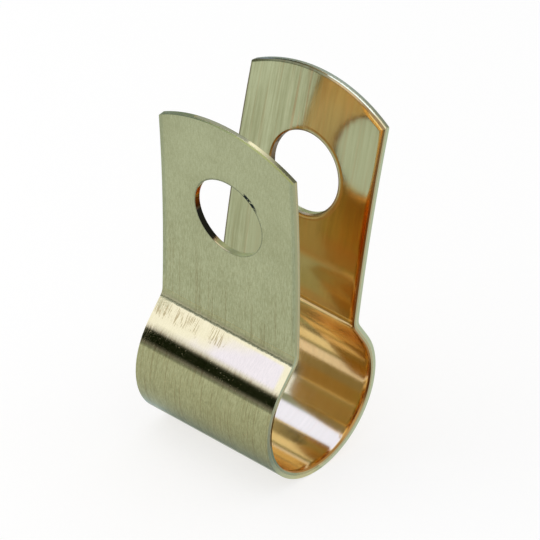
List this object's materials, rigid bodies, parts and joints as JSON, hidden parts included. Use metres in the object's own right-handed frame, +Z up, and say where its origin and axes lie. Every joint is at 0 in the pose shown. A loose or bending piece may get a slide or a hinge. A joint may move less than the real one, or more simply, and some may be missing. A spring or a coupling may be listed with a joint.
{
  "type": "pipe clip",
  "caption": "Brass pipe clip: a flat strip bent into an open loop that goes round a tube, with a bolt tab rising from each side of the loop's mouth.",
  "frame": {"origin": "centre of the loop, on the pipe's axis, halfway across the strip's width", "axes": "+Y along the pipe's axis, +X across the gap between the tabs, +Z up from the loop towards the tabs"},
  "size_m": [0.0172, 0.018, 0.0418],
  "materials": {
    "brass_strip": "rolled strip, brushed along its length, lightly scratched, with bare sheared edges"
  },
  "bodies": {
    "root": {"clip_strap": "brass_strip"}
  },
  "joints": []
}
